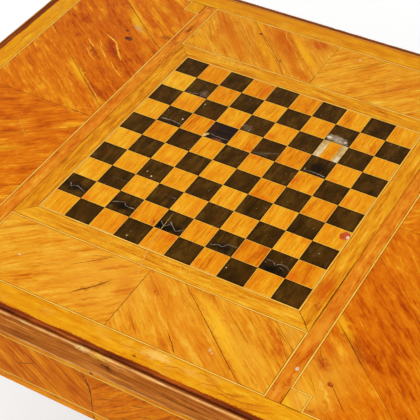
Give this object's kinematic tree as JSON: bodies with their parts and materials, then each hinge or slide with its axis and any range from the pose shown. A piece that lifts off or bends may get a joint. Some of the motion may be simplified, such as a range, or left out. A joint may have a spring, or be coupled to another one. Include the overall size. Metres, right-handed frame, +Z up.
{
  "type": "games table",
  "caption": "Rectangular games table on square tapering legs, with a lift-out chequered marquetry top, a backgammon well below it and opposed frieze drawers.",
  "frame": {"origin": "centre of the footprint on the floor, between the four feet", "axes": "+X along the long side, +Y from the front to the back, +Z up"},
  "size_m": [0.836, 0.695, 0.74],
  "materials": {
    "tulipwood": "quartered tulipwood veneer, polished to a satin gloss",
    "golden_banding": "golden crossbanding veneer, polished",
    "board_veneer": "squares of golden and dark olive-brown veneer, polished",
    "boxwood_line": "pale boxwood stringing, polished",
    "rim_wood": "solid mid-brown hardwood moulding, waxed and worn on its edges",
    "dark_edge": "dark stained hardwood, rubbed",
    "carcase_oak": "oak, planed and left unpolished inside",
    "well_veneer": "dark brown veneer, waxed",
    "point_veneer": "pale and dark veneer points, waxed",
    "green_baize": "green woollen baize, glued down",
    "brass": "cast brass, lacquered"
  },
  "bodies": {
    "case": {"case_floor": "carcase_oak", "deck_left": "carcase_oak", "deck_right": "carcase_oak", "leg_back_left": "tulipwood", "leg_back_right": "tulipwood", "leg_front_left": "tulipwood", "leg_front_right": "tulipwood", "points_left": "point_veneer", "points_right": "point_veneer", "rail_back": "carcase_oak", "rail_front": "carcase_oak", "rail_left": "carcase_oak", "rail_right": "carcase_oak", "rim_back": "rim_wood", "rim_front": "rim_wood", "rim_left": "rim_wood", "rim_right": "rim_wood", "shoe_back_left": "brass", "shoe_back_right": "brass", "shoe_front_left": "brass", "shoe_front_right": "brass", "well_bar": "well_veneer", "well_end_left": "well_veneer", "well_end_right": "well_veneer"},
    "top": {"baize": "green_baize", "board_frame_back": "tulipwood", "board_frame_front": "tulipwood", "board_frame_left": "tulipwood", "board_frame_right": "tulipwood", "board_stringing": "boxwood_line", "border_band": "golden_banding", "chequer_board": "board_veneer", "cross_strip_left": "tulipwood", "cross_strip_right": "tulipwood", "panel_back": "tulipwood", "panel_front": "tulipwood", "panel_left": "tulipwood", "panel_right": "tulipwood", "stringing_back": "boxwood_line", "stringing_front": "boxwood_line", "stringing_left": "boxwood_line", "stringing_right": "boxwood_line", "top_core": "carcase_oak", "top_lipping_back": "dark_edge", "top_lipping_front": "dark_edge", "top_lipping_left": "dark_edge", "top_lipping_right": "dark_edge"},
    "drawer_right": {"drawer_right_back": "carcase_oak", "drawer_right_bottom": "carcase_oak", "drawer_right_front": "tulipwood", "drawer_right_knob": "brass", "drawer_right_side_left": "carcase_oak", "drawer_right_side_right": "carcase_oak"},
    "drawer_left": {"drawer_left_back": "carcase_oak", "drawer_left_bottom": "carcase_oak", "drawer_left_front": "tulipwood", "drawer_left_knob": "brass", "drawer_left_side_left": "carcase_oak", "drawer_left_side_right": "carcase_oak"}
  },
  "joints": [
    {"name": "top_lift", "type": "slide", "parent": "case", "child": "top", "axis": [0, 0, 1], "range_m": [0, 0.12]},
    {"name": "drawer_right_slide", "type": "slide", "parent": "case", "child": "drawer_right", "axis": [0, -1, 0], "range_m": [0, 0.24]},
    {"name": "drawer_left_slide", "type": "slide", "parent": "case", "child": "drawer_left", "axis": [0, 1, 0], "range_m": [0, 0.24]}
  ]
}
